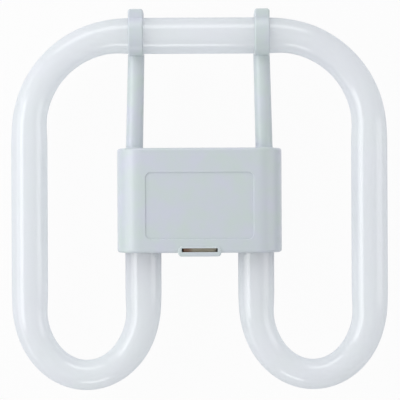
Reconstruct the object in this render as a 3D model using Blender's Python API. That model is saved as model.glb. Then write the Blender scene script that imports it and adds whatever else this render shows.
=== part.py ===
"""Square compact fluorescent lamp of the double-D kind, with a two-pin push-in cap.

One glass tube is bent into two D shapes side by side. Both of its ends go into a moulded housing
in the middle, whose two arms reach up and hook round the top run of the tube. The back of the
housing has a well with two contact pins. Inside are the starter, its capacitor and the wiring.

The lamp lies on its back: +X is to its right and +Y towards its hooks, both in the plane of the
tube, and +Z points out of its front. The origin is under the middle of the outline, on the flat
back face that seats on the lampholder. Lengths are in metres.
"""

import math

import bmesh
import bpy
from mathutils import Vector

MM = 0.001

# Outline of the lamp
OVERALL_WIDTH = 138.0 * MM
OVERALL_HEIGHT = 139.1 * MM

# Glass tube
TUBE_DIAMETER = 13.2 * MM
INNER_LEG_SPACING = 41.4 * MM
CORNER_RADIUS = 34.3 * MM
CORNER_THICKNESS = 11.8 * MM
UTURN_DEPTH = 25.0 * MM
UTURN_THICKNESS = 11.0 * MM
BEND_THICKNESS = 12.3 * MM
BEND_LEAD_IN = 6.0 * MM
BEND_LEAD_OUT = 8.0 * MM
SHOULDER_LENGTH = 4.5 * MM
PINCH_LENGTH = 4.5 * MM
PINCH_WIDTH = 9.0 * MM
PINCH_THICKNESS = 3.0 * MM
EXHAUST_TIP_DIAMETER = 2.8 * MM
EXHAUST_TIP_LENGTH = 2.4 * MM
PINCH_STEP = 0.05 * MM

# Moulded housing
HOUSING_HEIGHT = 38.0 * MM
HOUSING_CENTRE_Y = -0.1 * MM
SHELL_WALL = 1.6 * MM
SIDE_SPARE = 0.9 * MM
FRONT_SPARE = 1.5 * MM
SIDE_RADIUS = 9.0 * MM
SHELL_EDGE_RADIUS = 1.0 * MM
PARTING_DEPTH = 3.6 * MM
REAR_DRAFT = 1.0 * MM
TIP_BELOW_ROOF = 2.0 * MM
RIB_BELOW_LEG_END = 5.4 * MM
CRADLE_RIB_THICKNESS = 1.6 * MM
BAY_WIDTH = 25.0 * MM

# Clearances between pieces
TUBE_CLEARANCE = 0.3 * MM
SEAM_GAP = 0.3 * MM
JOINT_GAP = 0.3 * MM

# Label recess on the front face
LABEL_WIDTH = 39.2 * MM
LABEL_HEIGHT = 24.3 * MM
LABEL_DEPTH = 0.35 * MM
LABEL_CORNER_RADIUS = 2.2 * MM
LABEL_ABOVE_FOOT = 4.9 * MM

# Latch window and its raised rim at the foot of the housing
WINDOW_WIDTH = 13.0 * MM
WINDOW_HEIGHT = 1.4 * MM
WINDOW_ABOVE_FOOT = 0.3 * MM
RIM_SIDE_WALL = 1.3 * MM
RIM_TOP_WALL = 0.65 * MM
RIM_BOTTOM_WALL = 1.6 * MM
RIM_PROUD = 0.3 * MM
RIM_CORNER_RADIUS = 1.3 * MM
RIM_EDGE_RADIUS = 0.5 * MM
POCKET_UNDERCUT = 0.6 * MM

# Arms and hooks
ARM_DIAMETER_ROOT = 6.3 * MM
ARM_DIAMETER_TIP = 6.05 * MM
ARM_ROOT_SPACING = 47.6 * MM
ARM_ROOT_FLARE = 0.6 * MM
HOOK_SPACING = 46.0 * MM
HOOK_WIDTH = 5.5 * MM
HOOK_THICKNESS = 1.8 * MM
HOOK_HEEL = 0.7 * MM
HOOK_TAB_RISE = 2.6 * MM
HOOK_TAB_FRONT = 6.5 * MM
HOOK_TAB_BACK = 4.6 * MM
HOOK_LIP_ANGLE = 24.0
HOOK_EDGE_RADIUS = 0.6 * MM
HOOK_CORNER_RADIUS = 1.0 * MM

# Well for the lampholder in the back of the housing
WELL_WIDTH = 34.0 * MM
WELL_HEIGHT = 19.0 * MM
WELL_DEPTH = 8.4 * MM
WELL_CORNER_RADIUS = 2.0 * MM
WELL_FLOOR = 1.6 * MM
TUBE_OVER_WELL = 0.4 * MM
KEY_WIDTH = 3.0 * MM
KEY_DEPTH = 1.6 * MM
CATCH_WIDTH = 8.0 * MM
CATCH_HEIGHT = 2.4 * MM
CATCH_DEPTH = 0.8 * MM
CATCH_ABOVE_SEAT = 3.6 * MM

# Contact pins
PIN_DIAMETER = 2.35 * MM
PIN_SPACING = 8.0 * MM
PIN_REACH = 7.0 * MM
PIN_COLLAR_DIAMETER = 4.0 * MM
PIN_COLLAR_THICKNESS = 0.8 * MM
PIN_BARREL_DIAMETER = 2.6 * MM
PIN_BARREL_LENGTH = 1.7 * MM

# Bond rings that fix the legs in the housing
BOND_THICKNESS = 0.5 * MM
BOND_LENGTH = 4.0 * MM

# Starter and capacitor
CAPACITOR_HEIGHT = 9.0 * MM
CAPACITOR_THICKNESS = 4.0 * MM
CAPACITOR_EDGE_RADIUS = 0.6 * MM
STARTER_DIAMETER = 6.0 * MM
STARTER_ABOVE_CAPACITOR = 0.6 * MM
STARTER_BELOW_CRIMP_TOP = 7.4 * MM

# Wiring
LEAD_DIAMETER = 0.8 * MM
LEG_WIRE_DIAMETER = 0.6 * MM
LEAD_PITCH = 5.0 * MM
LEAD_DROP = 3.6 * MM
LEAD_ARCH = 1.1 * MM
STARTER_LEG_PITCH = 2.0 * MM
CAPACITOR_LEG_PITCH = 8.4 * MM
CAPACITOR_LEG_BOW = 0.4 * MM
CRIMP_DIAMETER = 2.4 * MM
CRIMP_LENGTH = 5.0 * MM
CRIMP_SPACING = 10.4 * MM
CRIMP_BELOW_ROOF = 3.8 * MM
CRIMP_WIRE_OFFSET = 0.6 * MM
SLEEVE_WALL = 0.35 * MM

# Fineness of the curved faces
TUBE_SIDES = 24
UTURN_STEPS = 16
CORNER_STEPS = 10
SIDE_STEPS = 8
FILLET_STEPS = 3
ROUND_SIDES = 20
OVERCUT = 2.0 * MM

# Sizes that follow from those above
TUBE_RADIUS = TUBE_DIAMETER / 2
BORE_RADIUS = TUBE_RADIUS + TUBE_CLEARANCE
OUTER_LEG_X = OVERALL_WIDTH / 2 - TUBE_RADIUS
INNER_LEG_X = INNER_LEG_SPACING / 2
TOP_RUN_Y = OVERALL_HEIGHT / 2 - HOOK_TAB_RISE - TUBE_RADIUS
UTURN_CENTRE_Y = -OVERALL_HEIGHT / 2 + UTURN_THICKNESS / 2 + UTURN_DEPTH
TUBE_AXIS_Z = WELL_DEPTH + WELL_FLOOR + TUBE_OVER_WELL + TUBE_RADIUS
HOUSING_HALF_WIDTH = INNER_LEG_X + BORE_RADIUS + SHELL_WALL + SIDE_SPARE
FRONT_Z = TUBE_AXIS_Z + BORE_RADIUS + SHELL_WALL + FRONT_SPARE
PARTING_Z = TUBE_AXIS_Z - PARTING_DEPTH
HOUSING_TOP_Y = HOUSING_CENTRE_Y + HOUSING_HEIGHT / 2
HOUSING_FOOT_Y = HOUSING_CENTRE_Y - HOUSING_HEIGHT / 2
PINCH_TOP_Y = HOUSING_TOP_Y - SHELL_WALL - TIP_BELOW_ROOF - EXHAUST_TIP_LENGTH
LEG_END_Y = PINCH_TOP_Y - PINCH_LENGTH - SHOULDER_LENGTH
RIB_TOP_Y = LEG_END_Y - RIB_BELOW_LEG_END
RIB_FOOT_Y = RIB_TOP_Y - CRADLE_RIB_THICKNESS
WELL_TOP_Z = WELL_DEPTH + WELL_FLOOR
WINDOW_FOOT_Y = HOUSING_FOOT_Y + WINDOW_ABOVE_FOOT
WINDOW_TOP_Y = WINDOW_FOOT_Y + WINDOW_HEIGHT
INNER_FRONT_Z = FRONT_Z - SHELL_WALL - JOINT_GAP
CAPACITOR_WIDTH = WINDOW_WIDTH - 2 * JOINT_GAP
CAPACITOR_FOOT_Y = WINDOW_FOOT_Y - POCKET_UNDERCUT + JOINT_GAP
CAPACITOR_TOP_Y = CAPACITOR_FOOT_Y + CAPACITOR_HEIGHT
CAPACITOR_BACK_Z = INNER_FRONT_Z - CAPACITOR_THICKNESS
POCKET_BACK_Z = CAPACITOR_BACK_Z - JOINT_GAP
STARTER_FOOT_Y = CAPACITOR_TOP_Y + STARTER_ABOVE_CAPACITOR
STARTER_Z = INNER_FRONT_Z - STARTER_DIAMETER / 2
CRIMP_TOP_Y = HOUSING_TOP_Y - SHELL_WALL - CRIMP_BELOW_ROOF
STARTER_TOP_Y = CRIMP_TOP_Y - STARTER_BELOW_CRIMP_TOP


def principled(name, colour, roughness, metallic=0.0):
    """A plain material with one colour."""
    material = bpy.data.materials.new(name)
    material.use_nodes = True
    shader = material.node_tree.nodes["Principled BSDF"]
    shader.inputs["Base Color"].default_value = (*colour, 1.0)
    shader.inputs["Roughness"].default_value = roughness
    shader.inputs["Metallic"].default_value = metallic
    material.diffuse_color = (*colour, 1.0)
    return material


def add_object(name, mesh, material=None):
    """Puts a mesh in the scene as one named object."""
    obj = bpy.data.objects.new(name, mesh)
    bpy.context.scene.collection.objects.link(obj)
    if material:
        mesh.materials.append(material)
    return obj


def shade_round(mesh, degrees=35.0):
    """Smooth shading that keeps the real edges sharp."""
    mesh.shade_smooth()
    mesh.set_sharp_from_angle(angle=math.radians(degrees))


def loft(name, rings, material=None):
    """A closed solid through rings of equal point counts, capped at both ends."""
    bm = bmesh.new()
    loops = [[bm.verts.new(point) for point in ring] for ring in rings]
    for lower, upper in zip(loops, loops[1:]):
        for i, corner in enumerate(lower):
            j = (i + 1) % len(lower)
            bm.faces.new((corner, lower[j], upper[j], upper[i]))
    bm.faces.new(list(reversed(loops[0])))
    bm.faces.new(loops[-1])
    bmesh.ops.recalc_face_normals(bm, faces=bm.faces)
    mesh = bpy.data.meshes.new(name)
    bm.to_mesh(mesh)
    bm.free()
    shade_round(mesh)
    return add_object(name, mesh, material)


def prism(name, outline, place, low, high, material=None):
    """An outline of (u, v) points drawn out from low to high; place turns (u, v, w) into a point."""
    return loft(name, [[place(u, v, w) for u, v in outline] for w in (low, high)], material)


def along_x(u, v, w):
    return Vector((w, u, v))


def along_y(u, v, w):
    return Vector((u, w, v))


def along_z(u, v, w):
    return Vector((u, v, w))


def box(name, low, high, material=None):
    """A block between two corners."""
    outline = [(low[0], low[1]), (high[0], low[1]), (high[0], high[1]), (low[0], high[1])]
    return prism(name, outline, along_z, low[2], high[2], material)


def arc(centre_u, centre_v, radius, start, end, steps):
    """Points on an arc, from the start angle to the end angle in degrees."""
    angles = [math.radians(start + (end - start) * i / steps) for i in range(steps + 1)]
    return [(centre_u + radius * math.cos(a), centre_v + radius * math.sin(a)) for a in angles]


def rounded_rectangle(centre_u, centre_v, half_u, half_v, radius, steps=FILLET_STEPS):
    """The outline of a rectangle with round corners, anticlockwise."""
    outline = []
    for side_u, side_v, start in ((1, 1, 0), (-1, 1, 90), (-1, -1, 180), (1, -1, 270)):
        corner_u = centre_u + side_u * (half_u - radius)
        corner_v = centre_v + side_v * (half_v - radius)
        outline += arc(corner_u, corner_v, radius, start, start + 90, steps)
    return outline


def turned(name, profile, centre, axis, material=None, sides=ROUND_SIDES):
    """A body turned about an axis through centre; the profile is (radius, distance along the axis)."""
    axis = Vector(axis)
    side = axis.orthogonal().normalized()
    other = axis.cross(side)
    angles = [2 * math.pi * i / sides for i in range(sides)]
    rings = [
        [Vector(centre) + axis * at + (side * math.cos(a) + other * math.sin(a)) * radius for a in angles]
        for radius, at in profile
    ]
    return loft(name, rings, material)


def round_edges(obj, width, limit_degrees=50.0, segments=2):
    """Rounds every edge sharper than the limit."""
    bevel = obj.modifiers.new("round edges", "BEVEL")
    bevel.width = width
    bevel.segments = segments
    bevel.limit_method = "ANGLE"
    bevel.angle_limit = math.radians(limit_degrees)


def round_corners(obj, is_corner, width, segments=FILLET_STEPS):
    """Rounds only the edges between two points for which is_corner holds."""
    mesh = obj.data
    weights = mesh.attributes.new("bevel_weight_edge", "FLOAT", "EDGE")
    for edge in mesh.edges:
        ends = [mesh.vertices[i].co for i in edge.vertices]
        weights.data[edge.index].value = float(is_corner(*ends))
    bevel = obj.modifiers.new("round corners", "BEVEL")
    bevel.width = width
    bevel.segments = segments
    bevel.limit_method = "WEIGHT"


def combine(target, helper, operation):
    """Joins the helper to the target, or cuts it away, and leaves the helper out of the model."""
    boolean = target.modifiers.new(f"{operation.lower()} {helper.name}", "BOOLEAN")
    boolean.operation = operation
    boolean.object = helper
    helper.hide_render = True
    helper.display_type = "WIRE"


def join(target, helper):
    combine(target, helper, "UNION")


def cut(target, helper):
    combine(target, helper, "DIFFERENCE")


def smooth_line(points, steps=4):
    """Points on a smooth curve that passes through the given ones."""
    points = [Vector(p) for p in points]
    ends = [2 * points[0] - points[1], *points, 2 * points[-1] - points[-2]]
    line = []
    for before, start, end, after in zip(ends, ends[1:], ends[2:], ends[3:]):
        for i in range(steps):
            t = i / steps
            line.append(
                0.5
                * (
                    2 * start
                    + (end - before) * t
                    + (2 * before - 5 * start + 4 * end - after) * t**2
                    + (3 * start - before - 3 * end + after) * t**3
                )
            )
    return [*line, points[-1]]


def wire(name, points, diameter, material):
    """A round wire along a smooth curve."""
    line = smooth_line(points)
    curve = bpy.data.curves.new(name, "CURVE")
    curve.dimensions = "3D"
    curve.bevel_depth = diameter / 2
    curve.bevel_resolution = 2
    curve.use_fill_caps = True
    spline = curve.splines.new("POLY")
    spline.points.add(len(line) - 1)
    for point, place in zip(spline.points, line):
        point.co = (*place, 1.0)
    curve.materials.append(material)
    obj = bpy.data.objects.new(name, curve)
    bpy.context.scene.collection.objects.link(obj)
    return obj


def bend_half_thickness(into_bend, share, middle_thickness):
    """Half the tube's thickness in the plane, at a distance into a bend and at a share of its half turn.

    Bent glass draws thinner: it eases to the bend's thickness round the start, and then to the middle's.
    """
    travel = min(max((into_bend + BEND_LEAD_IN) / (BEND_LEAD_IN + BEND_LEAD_OUT), 0.0), 1.0)
    eased = travel * travel * (3 - 2 * travel)
    necked = TUBE_RADIUS - (TUBE_DIAMETER - BEND_THICKNESS) / 2 * eased
    return necked - (BEND_THICKNESS - middle_thickness) / 2 * math.sin(math.pi / 2 * share) ** 2


def tube_stations():
    """The tube's left half, from the leg's end to the middle of the top run.

    Each station is (x, y, half width in the plane, half depth across it).
    """
    stations = []
    tip = EXHAUST_TIP_DIAMETER / 2
    tip_top = PINCH_TOP_Y + EXHAUST_TIP_LENGTH
    for width, depth, y in (
        (0.5 * tip, 0.5 * tip, tip_top),
        (0.9 * tip, 0.9 * tip, tip_top - 0.4 * tip),
        (tip, tip, tip_top - tip),
        (tip, tip, PINCH_TOP_Y),
    ):
        stations.append((-INNER_LEG_X, y, width, depth))
    stations.append((-INNER_LEG_X, PINCH_TOP_Y - PINCH_STEP, PINCH_WIDTH / 2, PINCH_THICKNESS / 2))
    for share in (0.0, 0.12, 0.35, 0.7, 1.0):
        swell = math.sin(share * math.pi / 2)
        stations.append(
            (
                -INNER_LEG_X,
                LEG_END_Y + SHOULDER_LENGTH * (1 - share),
                PINCH_WIDTH / 2 + (TUBE_RADIUS - PINCH_WIDTH / 2) * swell,
                PINCH_THICKNESS / 2 + (TUBE_RADIUS - PINCH_THICKNESS / 2) * swell,
            )
        )
    before_bend = (-BEND_LEAD_IN, -BEND_LEAD_IN / 2)
    for into_bend in before_bend:
        width = bend_half_thickness(into_bend, 0.0, UTURN_THICKNESS)
        stations.append((-INNER_LEG_X, UTURN_CENTRE_Y - into_bend, width, TUBE_RADIUS))
    centre_x = -(INNER_LEG_X + OUTER_LEG_X) / 2
    half_span = (OUTER_LEG_X - INNER_LEG_X) / 2
    for i in range(UTURN_STEPS + 1):
        turn = math.pi * i / UTURN_STEPS
        share = 1 - abs(1 - 2 * i / UTURN_STEPS)
        width = bend_half_thickness(UTURN_DEPTH * math.pi / 2 * share, share, UTURN_THICKNESS)
        x = centre_x + half_span * math.cos(turn)
        y = UTURN_CENTRE_Y - UTURN_DEPTH * math.sin(turn)
        stations.append((x, y, width, TUBE_RADIUS))
    for into_bend in reversed(before_bend):
        width = bend_half_thickness(into_bend, 0.0, UTURN_THICKNESS)
        stations.append((-OUTER_LEG_X, UTURN_CENTRE_Y - into_bend, width, TUBE_RADIUS))
    corner_foot_y = TOP_RUN_Y - CORNER_RADIUS
    for into_bend in before_bend:
        width = bend_half_thickness(into_bend, 0.0, CORNER_THICKNESS)
        stations.append((-OUTER_LEG_X, corner_foot_y + into_bend, width, TUBE_RADIUS))
    for i in range(CORNER_STEPS + 1):
        turn = math.pi / 2 * i / CORNER_STEPS
        share = 1 - abs(1 - 2 * i / CORNER_STEPS)
        width = bend_half_thickness(CORNER_RADIUS * math.pi / 4 * share, share, CORNER_THICKNESS)
        x = -OUTER_LEG_X + CORNER_RADIUS * (1 - math.cos(turn))
        y = corner_foot_y + CORNER_RADIUS * math.sin(turn)
        stations.append((x, y, width, TUBE_RADIUS))
    for into_bend in reversed(before_bend):
        width = bend_half_thickness(into_bend, 0.0, CORNER_THICKNESS)
        stations.append((-OUTER_LEG_X + CORNER_RADIUS - into_bend, TOP_RUN_Y, width, TUBE_RADIUS))
    return stations


def make_discharge_tube(glass):
    """The bent glass tube, sealed at both ends by a flat pinch with an exhaust tip."""
    left = tube_stations()
    right = [(-x, y, width, depth) for x, y, width, depth in reversed(left)]
    stations = left + right
    rings = []
    for i, (x, y, width, depth) in enumerate(stations):
        before = stations[max(i - 1, 0)]
        after = stations[min(i + 1, len(stations) - 1)]
        ahead = Vector((after[0] - before[0], after[1] - before[1], 0)).normalized()
        across = Vector((ahead.y, -ahead.x, 0))
        centre = Vector((x, y, TUBE_AXIS_Z))
        ring = []
        for side in range(TUBE_SIDES):
            angle = 2 * math.pi * side / TUBE_SIDES
            ring.append(centre + across * width * math.cos(angle) + Vector((0, 0, depth * math.sin(angle))))
        rings.append(ring)
    return loft("discharge_tube", rings, glass)


def front_section(inset, foot_z):
    """The front shell's section across the lamp, drawn in by inset, from foot_z up."""
    half = HOUSING_HALF_WIDTH - inset
    top = FRONT_Z - inset
    radius = SIDE_RADIUS - inset
    right = arc(half - radius, top - radius, radius, 0, 90, SIDE_STEPS)
    left = arc(radius - half, top - radius, radius, 90, 180, SIDE_STEPS)
    return [(half, foot_z), *right, *left, (-half, foot_z)]


def keyhole(name, side):
    """The space that one leg of the tube takes as it is laid into the front shell."""
    x = side * INNER_LEG_X
    outline = [(x + BORE_RADIUS, PARTING_Z - OVERCUT)]
    outline += arc(x, TUBE_AXIS_Z, BORE_RADIUS, 0, 180, TUBE_SIDES // 2)
    outline += [(x - BORE_RADIUS, PARTING_Z - OVERCUT)]
    return prism(name, outline, along_y, HOUSING_FOOT_Y - OVERCUT, LEG_END_Y)


def hook_outline():
    """Side view of a hook as (y, z) points, before the tube's bore is cut out of it.

    It rises from the arm, passes in front of the tube and over it, and ends in a tab.
    """
    outer = BORE_RADIUS + HOOK_THICKNESS
    foot = BORE_RADIUS + HOOK_HEEL
    foot_angle = -math.degrees(math.acos(foot / outer))
    tab_angle = math.degrees(math.asin(HOOK_TAB_FRONT / outer))
    tab_top_y = OVERALL_HEIGHT / 2
    lip = math.radians(HOOK_LIP_ANGLE)
    lip_y, lip_z = BORE_RADIUS * math.cos(lip), TUBE_AXIS_Z - BORE_RADIUS * math.sin(lip)
    outline = [(TOP_RUN_Y - foot, TUBE_AXIS_Z - ARM_DIAMETER_TIP / 2)]
    outline += arc(TOP_RUN_Y, TUBE_AXIS_Z, outer, 180 + foot_angle, tab_angle, 12)
    outline += [(tab_top_y, TUBE_AXIS_Z + HOOK_TAB_FRONT), (tab_top_y, TUBE_AXIS_Z - HOOK_TAB_BACK)]
    outline += [(TOP_RUN_Y + lip_y, lip_z), (TOP_RUN_Y - lip_y, lip_z)]
    return outline


def add_arm(shell, side):
    """A round arm out of the top of the housing, with the hook that holds the top run."""
    label = "right" if side > 0 else "left"
    root = Vector((side * ARM_ROOT_SPACING / 2, HOUSING_TOP_Y, TUBE_AXIS_Z))
    tip = Vector((side * HOOK_SPACING / 2, TOP_RUN_Y - BORE_RADIUS, TUBE_AXIS_Z))
    ahead = (tip - root).normalized()
    length = (tip - root).length
    root_radius = ARM_DIAMETER_ROOT / 2
    tip_radius = ARM_DIAMETER_TIP / 2
    profile = [
        (root_radius + ARM_ROOT_FLARE, -SHELL_WALL / 2),
        (root_radius + ARM_ROOT_FLARE, 0.0),
        (root_radius + 0.3 * ARM_ROOT_FLARE, 0.4 * ARM_ROOT_FLARE),
        (root_radius, ARM_ROOT_FLARE),
        (tip_radius, length + HOOK_THICKNESS / 2),
    ]
    arm = turned(f"{label} arm", profile, root, ahead)
    x = side * HOOK_SPACING / 2
    hook = prism(f"{label} hook", hook_outline(), along_x, x - HOOK_WIDTH / 2, x + HOOK_WIDTH / 2)
    tab_top = OVERALL_HEIGHT / 2 - OVERCUT / 2
    round_corners(hook, lambda a, b: min(a.y, b.y) > tab_top and a.x == b.x, HOOK_CORNER_RADIUS)
    round_edges(hook, HOOK_EDGE_RADIUS)
    bore = turned(
        f"{label} hook bore",
        [(BORE_RADIUS, -HOOK_WIDTH), (BORE_RADIUS, HOOK_WIDTH)],
        (x, TOP_RUN_Y, TUBE_AXIS_Z),
        (1, 0, 0),
        sides=2 * TUBE_SIDES,
    )
    join(shell, arm)
    join(shell, hook)
    cut(shell, bore)


def add_latch_window(shell):
    """The raised rim at the foot of the front face, with a window into the housing."""
    half = WINDOW_WIDTH / 2
    rim_half = half + RIM_SIDE_WALL
    rim_foot, rim_top = WINDOW_FOOT_Y - RIM_BOTTOM_WALL, WINDOW_TOP_Y + RIM_TOP_WALL
    outline = rounded_rectangle(
        0, (rim_foot + rim_top) / 2, rim_half, (rim_top - rim_foot) / 2, RIM_CORNER_RADIUS
    )
    rim = prism("window rim", outline, along_z, POCKET_BACK_Z - RIM_SIDE_WALL, FRONT_Z + RIM_PROUD)
    round_edges(rim, RIM_EDGE_RADIUS)
    window = box(
        "window opening",
        (-half, WINDOW_FOOT_Y, POCKET_BACK_Z),
        (half, WINDOW_TOP_Y, FRONT_Z + OVERCUT),
    )
    pocket = box(
        "pocket behind the window",
        (-half, WINDOW_FOOT_Y - POCKET_UNDERCUT, POCKET_BACK_Z),
        (half, WINDOW_TOP_Y + OVERCUT, FRONT_Z - SHELL_WALL),
    )
    join(shell, rim)
    cut(shell, window)
    cut(shell, pocket)


def make_front_shell(plastic):
    """The front moulding: half of the housing, its label recess, the latch window, both arms and hooks."""
    rings = []
    turns = [math.pi / 2 * i / FILLET_STEPS for i in range(FILLET_STEPS + 1)]
    edge = SHELL_EDGE_RADIUS
    for turn in reversed(turns):
        y = HOUSING_FOOT_Y + edge * (1 - math.sin(turn))
        section = front_section(edge * (1 - math.cos(turn)), PARTING_Z)
        rings.append([along_y(u, v, y) for u, v in section])
    for turn in turns:
        y = HOUSING_TOP_Y - edge * (1 - math.sin(turn))
        section = front_section(edge * (1 - math.cos(turn)), PARTING_Z)
        rings.append([along_y(u, v, y) for u, v in section])
    shell = loft("front_shell", rings, plastic)

    hollow = front_section(SHELL_WALL, PARTING_Z - OVERCUT)
    foot, top = HOUSING_FOOT_Y + SHELL_WALL, HOUSING_TOP_Y - SHELL_WALL
    cut(shell, prism("front hollow below the rib", hollow, along_y, foot, RIB_FOOT_Y))
    cut(shell, prism("front hollow above the rib", hollow, along_y, RIB_TOP_Y, top))
    bay = box(
        "front bay",
        (-BAY_WIDTH / 2, RIB_FOOT_Y - OVERCUT, PARTING_Z - OVERCUT),
        (BAY_WIDTH / 2, RIB_TOP_Y + OVERCUT, FRONT_Z - SHELL_WALL),
    )
    cut(shell, bay)
    for side, label in ((-1, "left"), (1, "right")):
        cut(shell, keyhole(f"{label} leg space", side))
        add_arm(shell, side)
    label_y = HOUSING_FOOT_Y + LABEL_ABOVE_FOOT + LABEL_HEIGHT / 2
    recess = rounded_rectangle(0, label_y, LABEL_WIDTH / 2, LABEL_HEIGHT / 2, LABEL_CORNER_RADIUS, 4)
    cut(shell, prism("label recess", recess, along_z, FRONT_Z - LABEL_DEPTH, FRONT_Z + OVERCUT))
    add_latch_window(shell)
    return shell


def rear_outline(z, inset):
    """The rear shell's outline at a height; it widens a little from the seat to the seam."""
    share = z / (PARTING_Z - SEAM_GAP)
    drawn_in = REAR_DRAFT * (1 - share) + inset
    half_x = HOUSING_HALF_WIDTH - drawn_in
    half_y = HOUSING_HEIGHT / 2 - drawn_in
    return rounded_rectangle(0, HOUSING_CENTRE_Y, half_x, half_y, SHELL_EDGE_RADIUS)


def make_rear_shell(plastic):
    """The back moulding: a tray with cradles under the legs, and the well with its key and catches."""
    seam_z = PARTING_Z - SEAM_GAP
    rings = []
    for i in range(FILLET_STEPS + 1):
        turn = math.pi / 2 * i / FILLET_STEPS
        z = SHELL_EDGE_RADIUS * (1 - math.cos(turn))
        outline = rear_outline(z, SHELL_EDGE_RADIUS * (1 - math.sin(turn)) / 2)
        rings.append([along_z(u, v, z) for u, v in outline])
    rings.append([along_z(u, v, seam_z) for u, v in rear_outline(seam_z, 0.0)])
    shell = loft("rear_shell", rings, plastic)

    half = HOUSING_HALF_WIDTH - REAR_DRAFT - SHELL_WALL
    foot = HOUSING_FOOT_Y + REAR_DRAFT + SHELL_WALL
    top = HOUSING_TOP_Y - REAR_DRAFT - SHELL_WALL
    over = seam_z + OVERCUT
    cut(shell, box("rear hollow below the rib", (-half, foot, SHELL_WALL), (half, RIB_FOOT_Y, over)))
    cut(shell, box("rear hollow above the rib", (-half, RIB_TOP_Y, SHELL_WALL), (half, top, over)))
    bay_half = BAY_WIDTH / 2
    bay_low = (-bay_half, RIB_FOOT_Y - OVERCUT, SHELL_WALL)
    cut(shell, box("rear bay", bay_low, (bay_half, RIB_TOP_Y + OVERCUT, over)))

    wall = SHELL_WALL
    well_half_x, well_half_y = WELL_WIDTH / 2, WELL_HEIGHT / 2
    outer = rounded_rectangle(
        0, HOUSING_CENTRE_Y, well_half_x + wall, well_half_y + wall, WELL_CORNER_RADIUS + wall
    )
    inner = rounded_rectangle(0, HOUSING_CENTRE_Y, well_half_x, well_half_y, WELL_CORNER_RADIUS)
    join(shell, prism("well walls", outer, along_z, wall / 2, WELL_TOP_Z))
    cut(shell, prism("well", inner, along_z, -OVERCUT, WELL_DEPTH))
    key_y = HOUSING_CENTRE_Y + well_half_y
    key = box(
        "well key",
        (-KEY_WIDTH / 2, key_y - KEY_DEPTH, wall / 2),
        (KEY_WIDTH / 2, key_y + wall / 2, WELL_DEPTH + wall / 2),
    )
    join(shell, key)
    for side, label in ((-1, "left"), (1, "right")):
        x = side * INNER_LEG_X
        half_tongue = BORE_RADIUS - JOINT_GAP
        tongue = box(
            f"{label} tongue",
            (x - half_tongue, HOUSING_FOOT_Y, PARTING_Z - wall),
            (x + half_tongue, HOUSING_FOOT_Y + wall, TUBE_AXIS_Z - TUBE_RADIUS / 3),
        )
        join(shell, tongue)
        leg_space = turned(
            f"{label} leg bore",
            [(BORE_RADIUS, HOUSING_FOOT_Y - OVERCUT), (BORE_RADIUS, LEG_END_Y)],
            (x, 0, TUBE_AXIS_Z),
            (0, 1, 0),
            sides=2 * TUBE_SIDES,
        )
        cut(shell, leg_space)
        pin_hole = turned(
            f"{label} pin hole",
            [(PIN_DIAMETER / 2 + JOINT_GAP, 0), (PIN_DIAMETER / 2 + JOINT_GAP, WELL_FLOOR + 2 * OVERCUT)],
            (side * PIN_SPACING / 2, HOUSING_CENTRE_Y, WELL_DEPTH - OVERCUT),
            (0, 0, 1),
        )
        cut(shell, pin_hole)
        catch_x = side * (well_half_x - CATCH_DEPTH)
        catch_far = side * (well_half_x + CATCH_DEPTH)
        catch = box(
            f"{label} catch",
            (min(catch_x, catch_far), HOUSING_CENTRE_Y - CATCH_WIDTH / 2, CATCH_ABOVE_SEAT),
            (max(catch_x, catch_far), HOUSING_CENTRE_Y + CATCH_WIDTH / 2, CATCH_ABOVE_SEAT + CATCH_HEIGHT),
        )
        cut(shell, catch)
    return shell


def make_contact_pin(name, side, metal):
    """A turned pin: its round tip stands in the well, and its collar and barrel are inside the housing."""
    radius = PIN_DIAMETER / 2
    tip_z = WELL_DEPTH - PIN_REACH
    collar_z = WELL_TOP_Z + JOINT_GAP
    barrel_z = collar_z + PIN_COLLAR_THICKNESS
    profile = [
        (0.35 * radius, tip_z),
        (0.75 * radius, tip_z + 0.25 * radius),
        (radius, tip_z + 0.8 * radius),
        (radius, collar_z),
        (PIN_COLLAR_DIAMETER / 2, collar_z),
        (PIN_COLLAR_DIAMETER / 2, barrel_z),
        (PIN_BARREL_DIAMETER / 2, barrel_z),
        (PIN_BARREL_DIAMETER / 2, barrel_z + PIN_BARREL_LENGTH),
    ]
    place = (side * PIN_SPACING / 2, HOUSING_CENTRE_Y, 0)
    return turned(name, profile, place, (0, 0, 1), metal)


def make_bond_ring(name, side, bond):
    """A ring of bonding compound round a leg, against the inside of the housing's foot."""
    inner, outer = BORE_RADIUS, BORE_RADIUS + BOND_THICKNESS
    low = HOUSING_FOOT_Y + REAR_DRAFT + SHELL_WALL + JOINT_GAP
    high = low + BOND_LENGTH
    centre = (side * INNER_LEG_X, 0, TUBE_AXIS_Z)
    ring = turned(name, [(outer, low), (outer, high)], centre, (0, 1, 0), bond, sides=TUBE_SIDES)
    hole = turned(
        f"{name} hole",
        [(inner, low - OVERCUT), (inner, high + OVERCUT)],
        centre,
        (0, 1, 0),
        sides=TUBE_SIDES,
    )
    cut(ring, hole)
    return ring


def make_starter(glass):
    """The glow starter's glass bottle, round at its foot, above the capacitor."""
    radius = STARTER_DIAMETER / 2
    profile = [
        (0.35 * radius, STARTER_FOOT_Y),
        (0.75 * radius, STARTER_FOOT_Y + 0.2 * radius),
        (0.95 * radius, STARTER_FOOT_Y + 0.6 * radius),
        (radius, STARTER_FOOT_Y + radius),
        (radius, STARTER_TOP_Y - 0.5 * radius),
        (0.8 * radius, STARTER_TOP_Y),
    ]
    return turned("starter_bottle", profile, (0, 0, STARTER_Z), (0, 1, 0), glass)


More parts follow.
